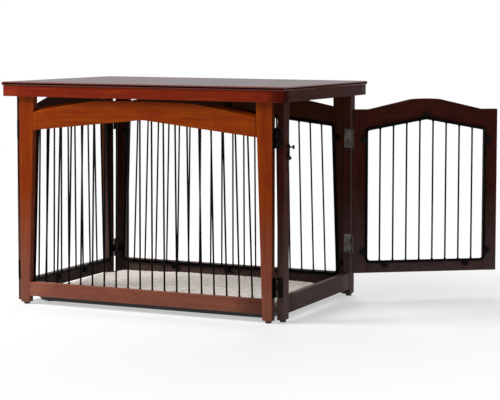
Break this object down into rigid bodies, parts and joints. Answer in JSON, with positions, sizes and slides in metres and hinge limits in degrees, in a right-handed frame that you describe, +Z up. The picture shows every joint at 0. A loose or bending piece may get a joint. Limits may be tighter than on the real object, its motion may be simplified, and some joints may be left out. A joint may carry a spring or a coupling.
{
  "type": "pet crate end table",
  "caption": "Wooden end table that is also a pet crate: arched frame panels with wire grilles, a lift-off top, a hinged end door with a turn latch, a floor pan and a soft mat.",
  "frame": {"origin": "bottom centre of the bounding box, with the door standing open as it is at rest, on the floor", "axes": "+X along the table's long side, towards the end with the door; +Y from the front panel to the rear panel; +Z up"},
  "size_m": [1.1302, 0.7002, 0.58],
  "materials": {
    "stained_wood": "satin mahogany stain",
    "top_wood": "satin dark mahogany stain",
    "black_wire": "satin black coat",
    "clip_plastic": "matte black",
    "dark_screws": "black oxide",
    "bronze_hinge": "dark bronze",
    "steel_hinge": "satin steel",
    "antique_latch": "antique bronze",
    "pan_plastic": "matte black",
    "rubber_feet": "matte",
    "glide_plastic": "matte dark brown",
    "fleece": "soft pile"
  },
  "bodies": {
    "frame": {"front_post_left": "stained_wood", "front_post_right": "stained_wood", "front_top_rail": "stained_wood", "front_bottom_rail": "stained_wood", "front_grille": "black_wire", "front_grille_clips": "clip_plastic", "rear_post_left": "stained_wood", "rear_post_right": "stained_wood", "rear_top_rail": "stained_wood", "rear_bottom_rail": "stained_wood", "rear_grille": "black_wire", "rear_grille_clips": "clip_plastic", "left_post_left": "stained_wood", "left_post_right": "stained_wood", "left_top_rail": "stained_wood", "left_bottom_rail": "stained_wood", "left_grille": "black_wire", "left_grille_clips": "clip_plastic", "right_post_front": "stained_wood", "right_post_rear": "stained_wood", "right_threshold_rail": "stained_wood", "right_header_rail": "stained_wood", "grille_clip_screws": "dark_screws", "corner_hinge_leaves_long": "bronze_hinge", "corner_hinge_leaves_short": "bronze_hinge", "corner_hinge_pins": "bronze_hinge", "corner_hinge_screws": "bronze_hinge", "foot_glides": "glide_plastic", "latch_plate": "antique_latch", "latch_plate_screws": "antique_latch", "latch_pivot": "antique_latch", "door_hinge_post_leaves": "steel_hinge", "door_hinge_pins": "steel_hinge", "door_hinge_post_screws": "steel_hinge"},
    "door": {"door_stile_hinge": "stained_wood", "door_stile_free": "stained_wood", "door_top_rail": "stained_wood", "door_bottom_rail": "stained_wood", "door_grille": "black_wire", "door_grille_clips": "clip_plastic", "door_clip_screws": "dark_screws", "door_hinge_door_leaves": "steel_hinge", "door_hinge_door_screws": "steel_hinge", "latch_keeper": "antique_latch", "latch_keeper_screws": "antique_latch"},
    "latch": {"latch_arm": "antique_latch", "latch_knob": "antique_latch"},
    "table_top": {"table_top_slab": "top_wood", "apron_front": "stained_wood", "apron_rear": "stained_wood", "apron_left": "stained_wood", "apron_right": "stained_wood", "apron_corner_blocks": "stained_wood"},
    "pan": {"floor_pan": "pan_plastic", "pan_feet": "rubber_feet"},
    "mat": {"fleece_mat": "fleece"}
  },
  "joints": [
    {"name": "door_swing", "type": "hinge", "parent": "frame", "child": "door", "pos_m": [0.22206, 0.12643, 0.28625], "axis": [0, 0, 1], "range_deg": [-124, 56]},
    {"name": "latch_turn", "type": "hinge", "parent": "frame", "child": "latch", "pos_m": [0.22241, -0.28507, 0.405], "axis": [1, 0, 0], "range_deg": [-90, 180]},
    {"name": "top_lift", "type": "slide", "parent": "frame", "child": "table_top", "axis": [0, 0, 1], "range_m": [0, 0.25]},
    {"name": "pan_lift", "type": "slide", "parent": "frame", "child": "pan", "axis": [0, 0, 1], "range_m": [0, 0.2]},
    {"name": "mat_lift", "type": "slide", "parent": "pan", "child": "mat", "axis": [0, 0, 1], "range_m": [0, 0.1]}
  ]
}
